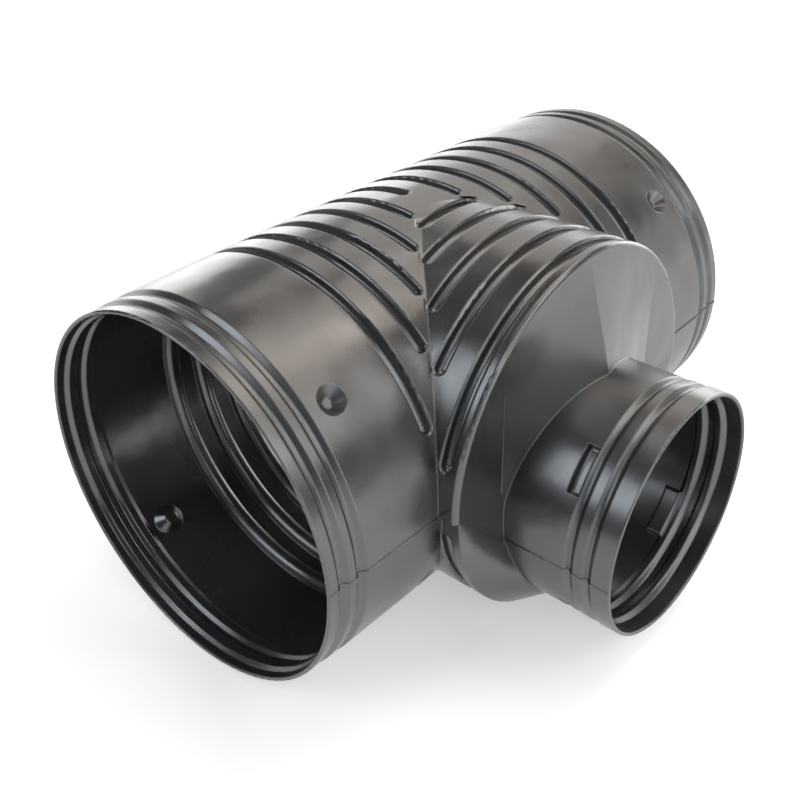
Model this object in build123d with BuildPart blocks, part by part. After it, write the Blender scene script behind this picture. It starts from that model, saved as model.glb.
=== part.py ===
"""A blow-moulded reducing tee for corrugated drain pipe: two full-size couplers in line and a smaller collar on a ribbed branch.

Millimetres. The run lies along X, the branch points towards -Y, and +Z is up. The origin is the middle of the underside,
and the centre lines of the run and the branch cross straight above a point a little behind it.
"""
import os
from math import asin, cos, degrees, radians, sin, sqrt, tan

from build123d import *

# Wall of the moulding
wall = 2.0
mouth_rounding = 0.85

# Run: the barrel that goes right through; its couplers taper a little towards their mouths
run_length = 318.0
body_radius = 94.0
coupler_taper = 0.4
run_lip_taper = 1.4
run_lip_width = 5.5
run_band_groove_width = 6.2
run_band_rib_width = 3.8

# Branch body, a little smaller than the run so that its crown runs out into the run's
branch_step = 1.0
lower_branch_step = 2.5
rim_reach = 9.6
rim_rounding = 2.5
coupler_gap = 3.0

# Shoulder: the lower part of the cap, which slopes in to the collar and reaches further out towards the bottom
shoulder_reach = 1.0
shoulder_tilt = 17.5

# Reduced collar, below the middle of the branch
collar_radius = 60.4
collar_lip_flare = 0.6
collar_drop = 22.5
collar_seam_drop = 27.0
collar_length = 58.8
collar_lip_width = 9.5
collar_band_groove_width = 5.0
collar_band_rib_width = 4.7

# Grooves of the end bands
band_groove_depth = 2.0
band_rounding = 0.8

# Grooves round the body, between the couplers
groove_pitch = 17.8
grooves_each_side = 5
groove_floor_radius = 2.7
groove_depth = 4.6
groove_lip_rounding = 2.0
groove_lip_slope = 25.0
groove_end_margin = 4.6

# Grooves round the branch body; the last one stops short of the mould seam
branch_groove_pitch = 18.0
branch_groove_offset = 5.0
branch_groove_count = 5
branch_groove_end_margin = 5.6
seam_gap = 7.0

# Hood: the cap of the branch rises from its rim to a ridge that meets the top of the collar
hood_slope = 15.3
hood_steps = 6
hood_least_rise = 0.25
hood_margin = 0.4

# Snap dimples, four round each coupler
dimple_distance = 34.0
dimple_radius = 7.3
dimple_floor_radius = 2.2
dimple_depth = 5.0
dimple_rounding = 1.2
dimple_angles = (45, 135, 225, 315)

# Snap pockets, four round the collar
pocket_distance = 27.6
pocket_width = 7.6
pocket_floor_width = 4.0
pocket_depth = 3.6
pocket_angle = 48.0
pocket_half_angle = 11.0
pocket_rounding = 1.2

# Mould seam
seam_width = 1.4
seam_height = 0.5

# Worked out from the sizes above
half_run = run_length / 2
coupler_end_radius = body_radius - coupler_taper
run_lip_radius = body_radius - run_lip_taper
branch_radius = body_radius - branch_step
lower_branch_radius = branch_radius - lower_branch_step
coupler_start = branch_radius + coupler_gap
branch_rim_distance = body_radius + rim_reach
shoulder_distance = branch_rim_distance + shoulder_reach
collar_lip_radius = collar_radius + collar_lip_flare
collar_mouth_distance = branch_rim_distance + collar_length
collar_z = -collar_drop
flat_cap_radius = branch_radius - rim_rounding
crossing = Vector(0, (collar_mouth_distance - body_radius - seam_height) / 2, body_radius)
run_axis = Axis(crossing, (1, 0, 0))
branch_axis = Axis(crossing, (0, -1, 0))
collar_axis = Axis(crossing - Vector(0, 0, collar_drop), (0, -1, 0))

# How far a cutting shape runs past the skin, and the least rounding where the wall takes the most of one
clear = 1.5
groove_clear = 0.8
least_rounding = 0.5


def section_plane(axis, along, angle):
    """Plane through an axis, turned about it from the top: its x runs along the axis, and its y straight out."""
    side = axis.direction.cross(Vector(0, 0, 1))
    normal = side * cos(radians(angle)) - Vector(0, 0, 1) * sin(radians(angle))
    return Plane(origin=axis.position + axis.direction * along, x_dir=axis.direction, z_dir=normal)


def outward(plane, turned_forward):
    """Line straight out of the axis in a section plane, for turning a groove's section into its rounded end."""
    direction = plane.y_dir * (-1 if turned_forward else 1)
    return Axis(plane.origin, direction)


def band_outline(lip_radius, barrel_radius, lip_width, groove_width, rib_width, inset):
    """Points of an end band's section, as (distance from the mouth, radius), from the mouth inwards.

    inset is how far the outline lies inside the skin. A groove of the skin is a ridge of the same wall on the inside.
    """
    spread = inset * (sqrt(2) - 1)
    tops = (lip_radius, (lip_radius + barrel_radius) / 2, barrel_radius)
    points = [(0, lip_radius - inset)]
    if inset > 0:
        points = [(-clear, lip_radius + clear), (0, lip_radius + clear)] + points
    for i in range(2):
        start = lip_width + i * (groove_width + rib_width) - spread
        end = start + groove_width + 2 * spread
        floor = (tops[i] + tops[i + 1]) / 2 - band_groove_depth
        points.append((start, tops[i] - inset))
        points.append((start + tops[i] - floor, floor - inset))
        points.append((end - tops[i + 1] + floor, floor - inset))
        points.append((end, tops[i + 1] - inset))
    return points


def run_band(inset):
    """Outline of a coupler's end band."""
    return band_outline(
        run_lip_radius, coupler_end_radius, run_lip_width, run_band_groove_width, run_band_rib_width, inset
    )


def collar_band(inset):
    """Outline of the collar's end band."""
    return band_outline(
        collar_lip_radius, collar_radius, collar_lip_width, collar_band_groove_width, collar_band_rib_width, inset
    )


def run_solid(inset):
    """The run's solid of revolution, inset from the skin."""
    near = [(a - half_run, r) for a, r in run_band(inset)] + [(-coupler_start, body_radius - inset)]
    far = [(-x, r) for x, r in reversed(near)]
    with BuildPart() as run:
        with BuildSketch(section_plane(run_axis, 0, 0)) as section:
            with BuildLine():
                Polyline([(near[0][0], 0)] + near + far + [(far[-1][0], 0)], close=True)
            make_face()
            bends = [v for v in section.vertices() if v.Y > 1 and coupler_start + clear < abs(v.X)]
            fillet([v for v in bends if abs(v.X) < half_run - clear], band_rounding)
            mouths = [v for v in section.vertices() if abs(abs(v.X) - half_run) < 0.1]
            fillet([v for v in mouths if 1 < v.Y < run_lip_radius + 0.1], mouth_rounding)
        revolve(axis=run_axis)
    return run.part


def collar_solid(inset, inner_end):
    """The collar's solid of revolution, from inner_end inside the branch to the mouth."""
    skin = [(collar_mouth_distance - a, r) for a, r in reversed(collar_band(inset))]
    with BuildPart() as collar:
        with BuildSketch(section_plane(collar_axis, 0, 0)) as section:
            with BuildLine():
                outline = [(inner_end, 0), (inner_end, collar_radius - inset)] + skin
                Polyline(outline + [(skin[-1][0], 0)], close=True)
            make_face()
            low, high = inner_end + clear, collar_mouth_distance - clear
            fillet([v for v in section.vertices() if v.Y > 1 and low < v.X < high], band_rounding)
            mouth = [v for v in section.vertices() if abs(v.X - collar_mouth_distance) < 0.1]
            fillet([v for v in mouth if 1 < v.Y < collar_lip_radius + 0.1], mouth_rounding)
        revolve(axis=collar_axis)
    return collar.part


def branch_solid(inset):
    """The branch body: its lower half is a little smaller than the upper one, whose rim is rounded."""
    reach = branch_rim_distance - inset
    with BuildPart() as branch:
        for start, skin_radius in ((-90, branch_radius), (90, lower_branch_radius)):
            radius = skin_radius - inset
            with BuildSketch(section_plane(branch_axis, 0, start)) as section:
                with BuildLine():
                    Polyline((0, 0), (0, radius), (reach, radius), (reach, 0), close=True)
                make_face()
                if skin_radius == branch_radius:
                    corner = [v for v in section.vertices() if v.X > 1 and v.Y > 1]
                    fillet(corner, max(rim_rounding - inset, least_rounding))
            revolve(axis=branch_axis, revolution_arc=180)
    return branch.part


def low_disc(radius, drop):
    """Outline of the part of a disc below a level line, this far below its middle."""
    half = sqrt(radius ** 2 - drop ** 2)
    with BuildLine() as outline:
        ThreePointArc((-half, -drop), (0, -radius), (half, -drop))
        Line((half, -drop), (-half, -drop))
    return outline.line


def shoulder_solid(inset):
    """The lower part of the cap: from a half disc at the rim to a smaller, tilted piece of disc inside the collar."""
    tilt = radians(shoulder_tilt)
    rim_middle = branch_axis.position - Vector(0, branch_rim_distance - inset, 0)
    end_middle = collar_axis.position - Vector(0, shoulder_distance - inset, 0)
    end_drop = (collar_seam_drop - collar_drop + inset) / cos(tilt)
    with BuildPart() as shoulder:
        with BuildSketch(Plane(origin=rim_middle, x_dir=(1, 0, 0), z_dir=(0, -1, 0))):
            with BuildLine():
                add(low_disc(lower_branch_radius - inset, 0))
            make_face()
        with BuildSketch(Plane(origin=end_middle, x_dir=(1, 0, 0), z_dir=(0, -cos(tilt), sin(tilt)))):
            with BuildLine():
                add(low_disc(collar_radius - wall / 2 - inset, end_drop))
            make_face()
        loft(ruled=True)
    return shoulder.part


def hood_half(inset):
    """The -X side of the hood: upright sections whose slope falls from the ridge to nothing at the collar's flank."""
    base = -(branch_rim_distance - inset)
    with BuildPart() as half:
        for i in range(hood_steps + 1):
            share = i / hood_steps
            x = -(collar_radius - inset) * (1 - share)
            top = sqrt((flat_cap_radius - hood_margin - inset) ** 2 - x ** 2)
            rise = max(tan(radians(hood_slope)) * share * (top - collar_z), hood_least_rise)
            with BuildSketch(Plane(origin=crossing + Vector(x, 0, 0), x_dir=(0, 1, 0), z_dir=(1, 0, 0))):
                with BuildLine():
                    back = base + wall
                    Polyline((back, top), (base, top), (base - rise, collar_z), (back, collar_z), close=True)
                make_face()
        loft()
    return half.part


def groove_outline(skin_radius, along, whole):
    """Outline of a body groove's section, or of the half beyond its middle.

    It has a round floor, upright walls, rounded lips, and a slope that runs out past the skin.
    """
    floor = skin_radius - groove_depth
    middle = floor + groove_floor_radius
    low = groove_floor_radius * sqrt(0.5)
    slope = radians(groove_lip_slope)
    turn = (slope + radians(90)) / 2
    centre = groove_floor_radius + groove_lip_rounding
    lip_height = skin_radius - groove_lip_rounding * cos(slope)
    lip_middle = (centre - groove_lip_rounding * sin(turn), lip_height + groove_lip_rounding * cos(turn))
    lip_end = centre - groove_lip_rounding * sin(slope)
    outside = (lip_end + groove_clear / tan(slope), skin_radius + groove_clear)
    sides = (1, -1) if whole else (1,)
    floor_end = (along + groove_floor_radius, middle)
    with BuildLine() as outline:
        if whole:
            ThreePointArc((along - groove_floor_radius, middle), (along, floor), floor_end)
        else:
            ThreePointArc((along, floor), (along + low, middle - low), floor_end)
        for side in sides:
            wall_end = (along + side * groove_floor_radius, lip_height)
            Line((along + side * groove_floor_radius, middle), wall_end)
            ThreePointArc(
                wall_end, (along + side * lip_middle[0], lip_middle[1]), (along + side * lip_end, skin_radius)
            )
            Line((along + side * lip_end, skin_radius), (along + side * outside[0], outside[1]))
        if whole:
            Line((along - outside[0], outside[1]), (along + outside[0], outside[1]))
        else:
            Polyline((along + outside[0], outside[1]), (along, outside[1]), (along, floor))
    return outline.line


def ridge_outline(skin_radius, along, whole):
    """Outline of the ridge that a body groove makes inside: the groove's floor, one wall further in."""
    radius = groove_floor_radius + wall
    middle = skin_radius - groove_depth + groove_floor_radius
    top = skin_radius - wall / 2
    low = radius * sqrt(0.5)
    with BuildLine() as outline:
        if whole:
            ThreePointArc((along - radius, middle), (along, middle - radius), (along + radius, middle))
            Polyline(
                (along + radius, middle), (along + radius, top), (along - radius, top), (along - radius, middle)
            )
        else:
            ThreePointArc((along, middle - radius), (along + low, middle - low), (along + radius, middle))
            Polyline((along + radius, middle), (along + radius, top), (along, top), (along, middle - radius))
    return outline.line


def groove_arc(outline, axis, skin_radius, along, start, sweep):
    """One groove or ridge: its section turned about the axis from start, with a rounded end at each end."""
    with BuildPart() as arc:
        with BuildSketch(section_plane(axis, 0, start)):
            with BuildLine():
                add(outline(skin_radius, along, True))
            make_face()
        revolve(axis=axis, revolution_arc=sweep)
        for angle, forward in ((start, False), (start + sweep, True)):
            with BuildSketch(section_plane(axis, 0, angle)):
                with BuildLine():
                    add(outline(skin_radius, along, False))
                make_face()
            revolve(axis=outward(section_plane(axis, along, angle), forward), revolution_arc=180)
    return arc.part


def run_groove_places():
    """Each groove of the run as (axis, skin radius, distance along the axis, start angle, sweep)."""
    places = []
    for k in range(-grooves_each_side, grooves_each_side + 1):
        x = k * groove_pitch
        end = degrees(asin((abs(x) - groove_end_margin) / body_radius))
        places.append((run_axis, body_radius, x, -180 - end, 180 + 2 * end))
    return places


def branch_groove_places():
    """Each groove of the branch body, in the same form; the upper and the lower half have their own."""
    places = []
    for j in range(1, branch_groove_count + 1):
        y = branch_groove_offset + j * branch_groove_pitch
        for middle, radius in ((0, branch_radius), (180, lower_branch_radius)):
            widest = sqrt(radius ** 2 - seam_gap ** 2)
            end = degrees(asin(min(y - branch_groove_end_margin, widest) / radius))
            places.append((branch_axis, radius, y, middle - end, 2 * end))
    return places


def dimple_solid(x, angle, inset):
    """A snap dimple at this place on the run: the pit in the skin, or the bump that it makes inside."""
    plane = section_plane(run_axis, x, angle)
    floor = body_radius - dimple_depth - inset
    top = body_radius - inset + (clear if inset == 0 else wall / 2)
    slope = (dimple_radius - dimple_floor_radius) / dimple_depth
    floor_radius = dimple_floor_radius + inset / 2
    with BuildPart() as dimple:
        with BuildSketch(plane) as section:
            with BuildLine():
                Polyline(
                    (0, floor), (floor_radius, floor), (floor_radius + slope * (top - floor), top), (0, top), close=True
                )
            make_face()
            corner = [v for v in section.vertices() if v.X > 0.1 and v.Y < floor + 0.1]
            fillet(corner, dimple_rounding)
        revolve(axis=Axis(plane.origin, plane.y_dir))
    return dimple.part


def pocket_solid(angle, inset):
    """A snap pocket of the collar: the pit in the skin, or the bump that it makes inside."""
    low = collar_radius - pocket_depth - inset
    high = collar_radius - inset + (clear if inset == 0 else wall / 2)
    half_angle = pocket_half_angle + degrees(inset / collar_radius)
    top_width = pocket_width / 2 + inset
    low_width = pocket_floor_width / 2 + inset
    middle = collar_mouth_distance - pocket_distance
    with BuildPart() as pocket:
        with BuildSketch(section_plane(collar_axis, 0, angle - half_angle)):
            with BuildLine():
                Polyline(
                    (middle - low_width, low), (middle - top_width, high),
                    (middle + top_width, high), (middle + low_width, low), close=True
                )
            make_face()
        revolve(axis=collar_axis, revolution_arc=2 * half_angle)
        foot = collar_axis.position + collar_axis.direction * middle
        fillet(pocket.edges().sort_by_distance(foot)[:4], pocket_rounding)
    return pocket.part


def seam_plate(axis, angle, skin, low_radius):
    """A thin upright plate along the seam: from low_radius to the skin's outline, raised by the height of the seam."""
    with BuildPart() as plate:
        with BuildSketch(section_plane(axis, 0, angle)):
            with BuildLine():
                Polyline([(skin[0][0], low_radius)] + skin + [(skin[-1][0], low_radius)], close=True)
            make_face()
        extrude(amount=seam_width / 2, both=True)
    return plate.part


def seam_plates():
    """The raised line where the two halves of the mould met, along the run's sides and the collar's."""
    band = [(a + mouth_rounding, r) for a, r in run_band(-seam_height)[:1]] + run_band(-seam_height)[1:]
    left = [(a - half_run, r) for a, r in band] + [(-coupler_start, body_radius + seam_height)]
    right = [(-x, r) for x, r in reversed(left)]
    low = min(r for x, r in left) - seam_height - wall / 2
    front = branch_radius - wall / 2
    front_left = left + [(-front, body_radius + seam_height)]
    front_right = [(-x, r) for x, r in reversed(front_left)]
    collar = [(branch_rim_distance - rim_rounding, collar_radius + seam_height)]
    collar += [(collar_mouth_distance - max(a, mouth_rounding), r) for a, r in reversed(collar_band(-seam_height))]
    collar_low = min(r for x, r in collar) - seam_height - wall / 2
    dip = degrees(asin((collar_seam_drop - collar_drop) / collar_radius))
    return [
        seam_plate(run_axis, -90, left + right, low),
        seam_plate(run_axis, 90, front_left, low),
        seam_plate(run_axis, 90, front_right, low),
        seam_plate(collar_axis, 90 + dip, collar, collar_low),
        seam_plate(collar_axis, -90 - dip, collar, collar_low),
    ]


os.makedirs("parts", exist_ok=True)
dimple_places = [(side * (half_run - dimple_distance), angle) for side in (-1, 1) for angle in dimple_angles]
pocket_angles = (pocket_angle, 180 - pocket_angle, 180 + pocket_angle, 360 - pocket_angle)

# Skin: the outside of the moulding, as one solid
half_hood = hood_half(0)
with BuildPart() as skin:
    add(half_hood)
    mirror(half_hood, about=Plane.YZ)
    add(branch_solid(0))
    add(shoulder_solid(0))
    add(collar_solid(0, branch_rim_distance - rim_rounding - wall))
    add(run_solid(0), clean=False)
    add(seam_plates(), clean=False)

# What is pressed into the skin
run_grooves = [groove_arc(groove_outline, *place) for place in run_groove_places()]
branch_grooves = [groove_arc(groove_outline, *place) for place in branch_groove_places()]
snaps = [dimple_solid(x, angle, 0) for x, angle in dimple_places]
snaps += [pocket_solid(angle, 0) for angle in pocket_angles]

# What stands out inside, behind each thing pressed into the skin
raised = [groove_arc(ridge_outline, *place) for place in run_groove_places() + branch_groove_places()]
raised += [dimple_solid(x, angle, wall) for x, angle in dimple_places]
raised += [pocket_solid(angle, wall) for angle in pocket_angles]

# Cavity: the inside of the moulding, one wall in from the skin
half_cavity_hood = hood_half(wall)
with BuildPart() as cavity:
    add(half_cavity_hood)
    mirror(half_cavity_hood, about=Plane.YZ)
    add(branch_solid(wall))
    add(shoulder_solid(wall))
    add(collar_solid(wall, 0))
    add(run_solid(wall), clean=False)
    add(raised, mode=Mode.SUBTRACT, clean=False)

with BuildPart() as tee_body:
    add(skin.part, clean=False)
    add(run_grooves, mode=Mode.SUBTRACT, clean=False)
    add(branch_grooves, mode=Mode.SUBTRACT, clean=False)
    add(snaps, mode=Mode.SUBTRACT, clean=False)
    add(cavity.part, mode=Mode.SUBTRACT, clean=False)

tee_body.part.label = "tee_body"
export_step(tee_body.part, "parts/tee_body.step")
print("volume", round(tee_body.part.volume), "solids", len(tee_body.part.solids()), "valid", tee_body.part.is_valid)
print("box", tee_body.part.bounding_box())
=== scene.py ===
"""Blow-moulded reducing tee for corrugated drain pipe, black polyethylene, seen from above one coupler."""
from math import cos, pi, radians, sin

import bpy
from mathutils import Matrix, Vector

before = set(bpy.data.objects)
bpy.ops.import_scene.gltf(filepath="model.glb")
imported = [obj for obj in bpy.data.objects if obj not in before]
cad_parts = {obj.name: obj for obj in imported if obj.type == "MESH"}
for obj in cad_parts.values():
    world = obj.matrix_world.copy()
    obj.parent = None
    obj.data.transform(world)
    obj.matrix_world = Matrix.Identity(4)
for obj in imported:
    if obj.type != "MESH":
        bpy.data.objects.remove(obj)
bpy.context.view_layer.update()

# Where the centre lines of the run and the branch cross, in metres
CROSSING = Vector((0.0, 0.03395, 0.094))

# Camera, found from the photograph's rims, grooves and seams: metres from the crossing, and radians
EYE = Vector((-0.3713, -0.3249, 0.3018))
YAW = 0.7345
PITCH = 0.5862
ROLL = 0.0262
FOCAL_SHARE = 1081.78 / 800
SENSOR_WIDTH = 36
CLIP_START = 0.01
CLIP_END = 20

# Black polyethylene: its colour, and its sheen from the shiniest patches to the dullest
PLASTIC_COLOUR = (0.017, 0.017, 0.0173, 1)
PLASTIC_IOR = 2.1
SHINIEST = 0.2
DULLEST = 0.34
EDGE_RADIUS = 0.0009

# White floor: its side, and its glow near the tee and far from it
FLOOR_SIDE = 12
FLOOR_COLOUR = (0.8, 0.8, 0.8, 1)
NEAR = 0.5
FAR = 3.0
NEAR_GLOW = 0.42
FAR_GLOW = 1.0

# Light of the even surroundings on the tee
WORLD_LEVEL = 0.1
WHITE = (1, 1, 1, 1)

# Soft boxes: turn from +X and rise in degrees, radiance, and warmth, which is below zero for a cool lamp
BOX_DISTANCE = 1.5
BOX_SIZE = (0.8, 0.75)
SOFT_BOXES = (
    (0, 8, 4.2, 0.02), (30, 8, 1.8, 0.0), (60, 8, 2.8, 0.02), (90, 8, 2.3, 0.0), (-30, 8, 1.0, 0.03),
    (-90, 8, 2.3, -0.03), (-120, 8, 0.5, -0.2), (-120, 38, 2.3, -0.05), (-70, 38, 2.9, 0.02),
    (-20, 38, 0.1, 0.25), (30, 38, 1.1, 0.07), (80, 38, 1.3, 0.02), (160, 36, 3.0, -0.08),
    (-5, 55, 1.3, 0.1), (-40, 65, 1.8, 0.12), (0, 88, 1.4, 0.05),
)


def direction(turn, rise):
    """Unit vector at this turn from +X and this rise, in radians."""
    return Vector((cos(turn) * cos(rise), sin(turn) * cos(rise), sin(rise)))


def make_camera():
    """Camera at the photograph's place, with no shift."""
    forward = direction(YAW, -PITCH)
    level = Vector((sin(YAW), -cos(YAW), 0))
    down = forward.cross(level)
    right = level * cos(ROLL) + down * sin(ROLL)
    up = level * sin(ROLL) - down * cos(ROLL)
    data = bpy.data.cameras.new("camera")
    data.sensor_width = SENSOR_WIDTH
    data.lens = SENSOR_WIDTH * FOCAL_SHARE
    data.clip_start = CLIP_START
    data.clip_end = CLIP_END
    camera = bpy.data.objects.new("camera", data)
    turn = Matrix((right, up, -forward)).transposed()
    camera.matrix_world = Matrix.Translation(CROSSING + EYE) @ turn.to_4x4()
    bpy.context.scene.collection.objects.link(camera)
    bpy.context.scene.camera = camera


def node(tree, kind, place, **settings):
    """A new node with its settings, and with its inputs set by name."""
    made = tree.nodes.new(kind)
    made.location = place
    for key, value in settings.items():
        if key in made.inputs:
            made.inputs[key].default_value = value
        else:
            setattr(made, key, value)
    return made


def smooth_range(tree, place, low, high, to_low, to_high):
    """Map Range node that turns low..high smoothly into to_low..to_high."""
    made = node(tree, "ShaderNodeMapRange", place, interpolation_type="SMOOTHSTEP")
    for name, value in (("From Min", low), ("From Max", high), ("To Min", to_low), ("To Max", to_high)):
        made.inputs[name].default_value = value
    return made


def make_plastic():
    """Black polyethylene as it comes out of the mould: a soft uneven sheen, slow waves, and fine grain."""
    material = bpy.data.materials.new("black_plastic")
    material.use_nodes = True
    tree = material.node_tree
    shader = tree.nodes["Principled BSDF"]
    shader.inputs["Base Color"].default_value = PLASTIC_COLOUR
    shader.inputs["IOR"].default_value = PLASTIC_IOR
    place = node(tree, "ShaderNodeTexCoord", (-1200, 0))

    # Sheen: broad patches where the skin cooled against the mould sooner or later
    patches = node(tree, "ShaderNodeTexNoise", (-900, 200), Scale=14.0, Detail=3.0, Roughness=0.55)
    sheen = smooth_range(tree, (-650, 200), 0.3, 0.7, SHINIEST, DULLEST)

    # Waves: the skin isn't quite true to the mould. Its grain is fine, and its edges are a little soft
    waves = node(tree, "ShaderNodeTexNoise", (-900, -100), Scale=22.0, Detail=1.5, Roughness=0.5)
    grain = node(tree, "ShaderNodeTexNoise", (-900, -400), Scale=1400.0, Detail=2.0, Roughness=0.6)
    soft = node(tree, "ShaderNodeBevel", (-650, -500), samples=4, Radius=EDGE_RADIUS)
    low = node(tree, "ShaderNodeBump", (-400, -100), Strength=0.8, Distance=0.003)
    fine = node(tree, "ShaderNodeBump", (-200, -250), Strength=0.25, Distance=0.00012)
    links = tree.links
    for texture in (patches, waves, grain):
        links.new(place.outputs["Object"], texture.inputs["Vector"])
    links.new(patches.outputs[0], sheen.inputs["Value"])
    links.new(sheen.outputs[0], shader.inputs["Roughness"])
    links.new(waves.outputs[0], low.inputs["Height"])
    links.new(grain.outputs[0], fine.inputs["Height"])
    links.new(soft.outputs[0], low.inputs["Normal"])
    links.new(low.outputs[0], fine.inputs["Normal"])
    links.new(fine.outputs[0], shader.inputs["Normal"])
    return material


def soft_box(name, turn, rise, radiance, warmth):
    """Rectangular lamp facing the crossing, at this turn from +X and this rise, in degrees."""
    away = direction(radians(turn), radians(rise))
    data = bpy.data.lights.new(name, "AREA")
    data.shape = "RECTANGLE"
    data.size, data.size_y = BOX_SIZE
    data.energy = radiance * pi * BOX_SIZE[0] * BOX_SIZE[1]
    data.color = (1 + warmth, 1, 1 - warmth)
    lamp = bpy.data.objects.new(name, data)
    lamp.location = CROSSING + away * BOX_DISTANCE
    lamp.rotation_euler = away.to_track_quat("Z", "Y").to_euler()
    bpy.context.scene.collection.objects.link(lamp)


def make_floor():
    """White floor that keeps the shadow. To the camera and in reflections it glows, most of all far away."""
    bpy.ops.object.select_all(action="DESELECT")
    bpy.ops.mesh.primitive_plane_add(size=FLOOR_SIDE, location=(0, 0, 0))
    floor = bpy.context.object
    floor.name = "floor"
    material = bpy.data.materials.new("floor")
    material.use_nodes = True
    tree = material.node_tree
    tree.nodes.clear()
    matt = node(tree, "ShaderNodeBsdfDiffuse", (0, 0), Color=FLOOR_COLOUR)
    spot = node(tree, "ShaderNodeTexCoord", (-800, -300))
    away = node(tree, "ShaderNodeVectorMath", (-600, -300), operation="LENGTH")
    level = smooth_range(tree, (-400, -300), NEAR, FAR, NEAR_GLOW, FAR_GLOW)
    tree.links.new(spot.outputs["Object"], away.inputs[0])
    tree.links.new(away.outputs["Value"], level.inputs["Value"])
    glow = node(tree, "ShaderNodeEmission", (0, -200), Color=WHITE)
    tree.links.new(level.outputs[0], glow.inputs["Strength"])
    path = node(tree, "ShaderNodeLightPath", (-400, 300))
    seen = node(tree, "ShaderNodeMath", (-200, 300), operation="MAXIMUM")
    lit = node(tree, "ShaderNodeAddShader", (200, -100))
    mix = node(tree, "ShaderNodeMixShader", (400, 0))
    out = node(tree, "ShaderNodeOutputMaterial", (600, 0))
    tree.links.new(path.outputs["Is Camera Ray"], seen.inputs[0])
    tree.links.new(path.outputs["Is Glossy Ray"], seen.inputs[1])
    tree.links.new(matt.outputs[0], lit.inputs[0])
    tree.links.new(glow.outputs[0], lit.inputs[1])
    tree.links.new(seen.outputs[0], mix.inputs[0])
    tree.links.new(matt.outputs[0], mix.inputs[1])
    tree.links.new(lit.outputs[0], mix.inputs[2])
    tree.links.new(mix.outputs[0], out.inputs[0])
    floor.data.materials.append(material)


def make_world():
    """Even pale surroundings, white to the camera."""
    world = bpy.data.worlds.new("surroundings")
    bpy.context.scene.world = world
    world.use_nodes = True
    tree = world.node_tree
    tree.nodes.clear()
    seen = node(tree, "ShaderNodeBackground", (0, 0), Color=WHITE, Strength=1.0)
    light = node(tree, "ShaderNodeBackground", (0, -200), Color=WHITE, Strength=WORLD_LEVEL)
    path = node(tree, "ShaderNodeLightPath", (-200, 300))
    mix = node(tree, "ShaderNodeMixShader", (200, 0))
    out = node(tree, "ShaderNodeOutputWorld", (400, 0))
    tree.links.new(path.outputs["Is Camera Ray"], mix.inputs[0])
    tree.links.new(light.outputs[0], mix.inputs[1])
    tree.links.new(seen.outputs[0], mix.inputs[2])
    tree.links.new(mix.outputs[0], out.inputs[0])


make_camera()
make_world()
make_floor()
bpy.context.scene.view_settings.view_transform = "Standard"
plastic = make_plastic()
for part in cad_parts.values():
    for place in part.material_slots:
        place.material = plastic

for turn, rise, radiance, warmth in SOFT_BOXES:
    soft_box(f"box_{turn}_{rise}", turn, rise, radiance, warmth)
